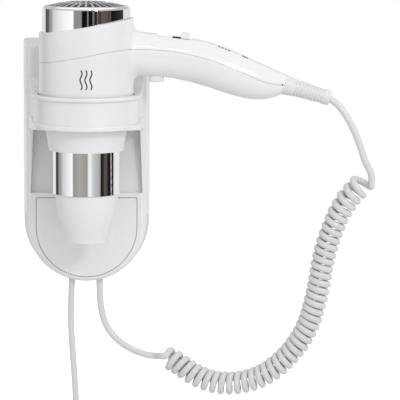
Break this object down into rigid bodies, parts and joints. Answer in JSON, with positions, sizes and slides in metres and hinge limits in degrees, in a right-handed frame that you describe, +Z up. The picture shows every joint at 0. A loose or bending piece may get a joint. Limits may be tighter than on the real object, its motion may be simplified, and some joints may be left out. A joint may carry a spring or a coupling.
{
  "type": "hair dryer",
  "caption": "Wall-mounted hair dryer: round barrel with chrome cap and band, side handle and nozzle, standing in the ring of an arched wall unit, with a curly cord and a mains lead.",
  "frame": {"origin": "on the wall, at the middle of the wall unit's four screw holes", "axes": "+Z up, +X along the handle to the right as seen from the room, +Y into the wall, so the room is on the -Y side"},
  "size_m": [0.2944, 0.1173, 0.529],
  "materials": {
    "white_plastic": "glossy moulded",
    "white_rubber": "smooth",
    "white_cord": "satin",
    "cable_tie": "satin",
    "chrome": "polished",
    "silver_plastic": "satin silver",
    "filter_foam": "open mesh",
    "dark_plastic": "matte",
    "grey_plastic": "matte",
    "steel": "plain",
    "brass": "nickel plated",
    "mica": "flaky",
    "heating_wire": "oxidised",
    "circuit_board": "lacquered",
    "wire_insulation": "plain"
  },
  "bodies": {
    "wall_unit": {"holder_cover": "white_plastic", "wall_plate": "grey_plastic", "lower_panel": "white_plastic", "cover_screws": "steel", "terminal_block": "grey_plastic", "cord_clamp_mains": "grey_plastic", "cord_clamp_spiral": "grey_plastic", "clamp_screws": "steel", "mains_gland": "white_rubber", "spiral_gland": "white_rubber", "mains_cord": "white_cord", "mains_coil": "white_cord", "cable_tie": "cable_tie", "mains_plug_tail": "white_cord", "plug_body": "white_cord", "plug_pins": "brass", "spiral_cord_handset_tail": "white_cord", "spiral_cord_coil": "white_cord", "spiral_cord_base_tail": "white_cord"},
    "handset": {"rear_housing": "white_plastic", "front_housing": "white_plastic", "strain_relief_boot": "white_rubber", "chrome_rear_cap": "chrome", "chrome_front_band": "chrome", "intake_grille": "silver_plastic", "lint_filter": "filter_foam", "motor_mount": "dark_plastic", "speed_switch_body": "dark_plastic", "trigger_switch": "dark_plastic", "motor_body": "steel", "housing_screws": "steel", "outlet_grille": "steel", "thermostat": "steel", "thermal_fuse": "steel", "heater_frame": "mica", "mica_sleeve": "mica", "heater_coils": "heating_wire", "rectifier_board": "circuit_board", "lead_wires": "wire_insulation"},
    "fan": {"fan_impeller": "dark_plastic", "motor_shaft": "steel"},
    "nozzle": {"concentrator_nozzle": "white_plastic"},
    "speed_knob": {"speed_switch_knob": "white_plastic", "slot_shield": "dark_plastic"},
    "trigger": {"trigger_button": "white_plastic"}
  },
  "joints": [
    {"name": "handset_lift", "type": "slide", "parent": "wall_unit", "child": "handset", "axis": [0, 0, 1], "range_m": [0, 0.135]},
    {"name": "fan_spin", "type": "hinge", "parent": "handset", "child": "fan", "pos_m": [0, -0.071, 0.1], "axis": [0, 0, 1], "continuous": true},
    {"name": "nozzle_turn", "type": "hinge", "parent": "handset", "child": "nozzle", "pos_m": [0, -0.071, -0.03], "axis": [0, 0, 1], "continuous": true},
    {"name": "knob_slide", "type": "slide", "parent": "handset", "child": "speed_knob", "axis": [-0.994, 0, 0.1097], "range_m": [0, 0.007]},
    {"name": "trigger_press", "type": "slide", "parent": "handset", "child": "trigger", "axis": [0, 0, 1], "range_m": [0, 0.0025], "stiffness_N_per_m": 500, "springref_m": -0.001}
  ]
}
